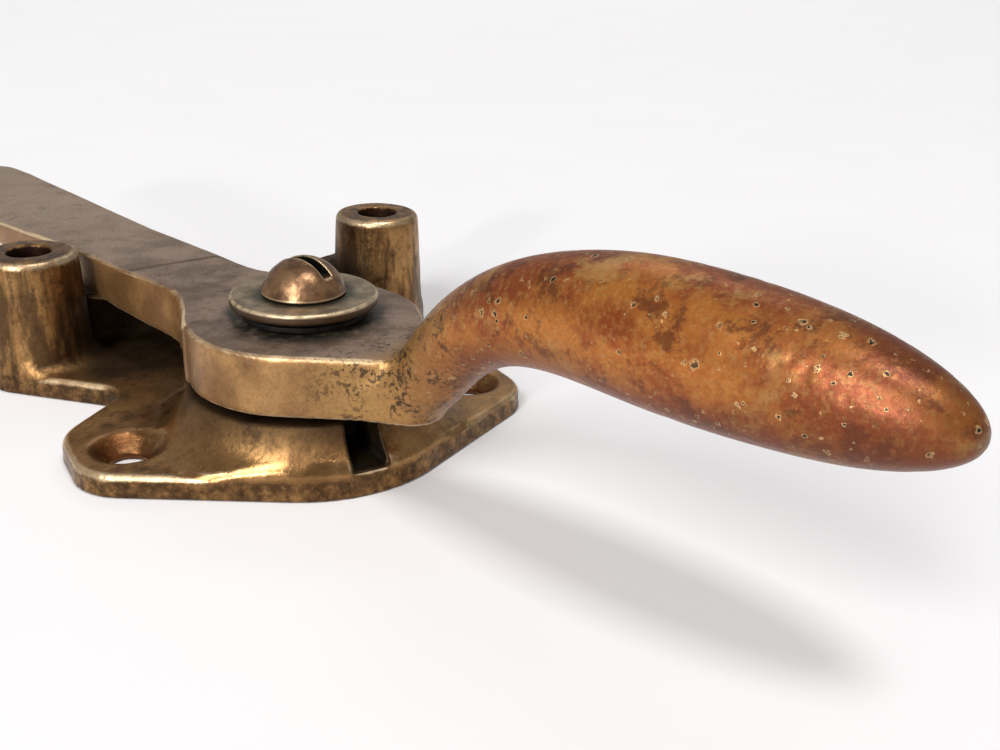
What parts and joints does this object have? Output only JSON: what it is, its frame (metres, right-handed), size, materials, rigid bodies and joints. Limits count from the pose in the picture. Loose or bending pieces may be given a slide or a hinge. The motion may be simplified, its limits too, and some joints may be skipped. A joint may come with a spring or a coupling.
{
  "type": "window handle",
  "caption": "Cockspur window handle: cast lever with a torpedo grip and a flat spur, swinging on a screw-fixed cast base between two tall bosses.",
  "frame": {"origin": "pivot axis where it meets the mounting face of the base plate", "axes": "+Z out of the mounting face along the pivot axis, +X parallel to the line through the two flange screws, +Y from the pivot towards the two tall bosses"},
  "size_m": [0.079, 0.208, 0.0401],
  "materials": {
    "base_brass": "aged cast brass, golden brown with dark stains",
    "lever_brass": "handled brass, orange-brown patina with pits",
    "stack_brass": "dull turned brass",
    "screw_brass": "dark copper-brown brass",
    "spring_steel": "dark tarnished spring steel"
  },
  "bodies": {
    "base": {"base_plate": "base_brass", "pivot_bush": "stack_brass", "friction_washer": "stack_brass", "spring_washer": "spring_steel", "retaining_washer": "stack_brass", "pivot_screw": "screw_brass"},
    "lever": {"lever": "lever_brass"}
  },
  "joints": [
    {"name": "lever_swing", "type": "hinge", "parent": "base", "child": "lever", "pos_m": [0, 0, 0.015], "axis": [0, 0, 1], "range_deg": [-32.5, 0]}
  ]
}
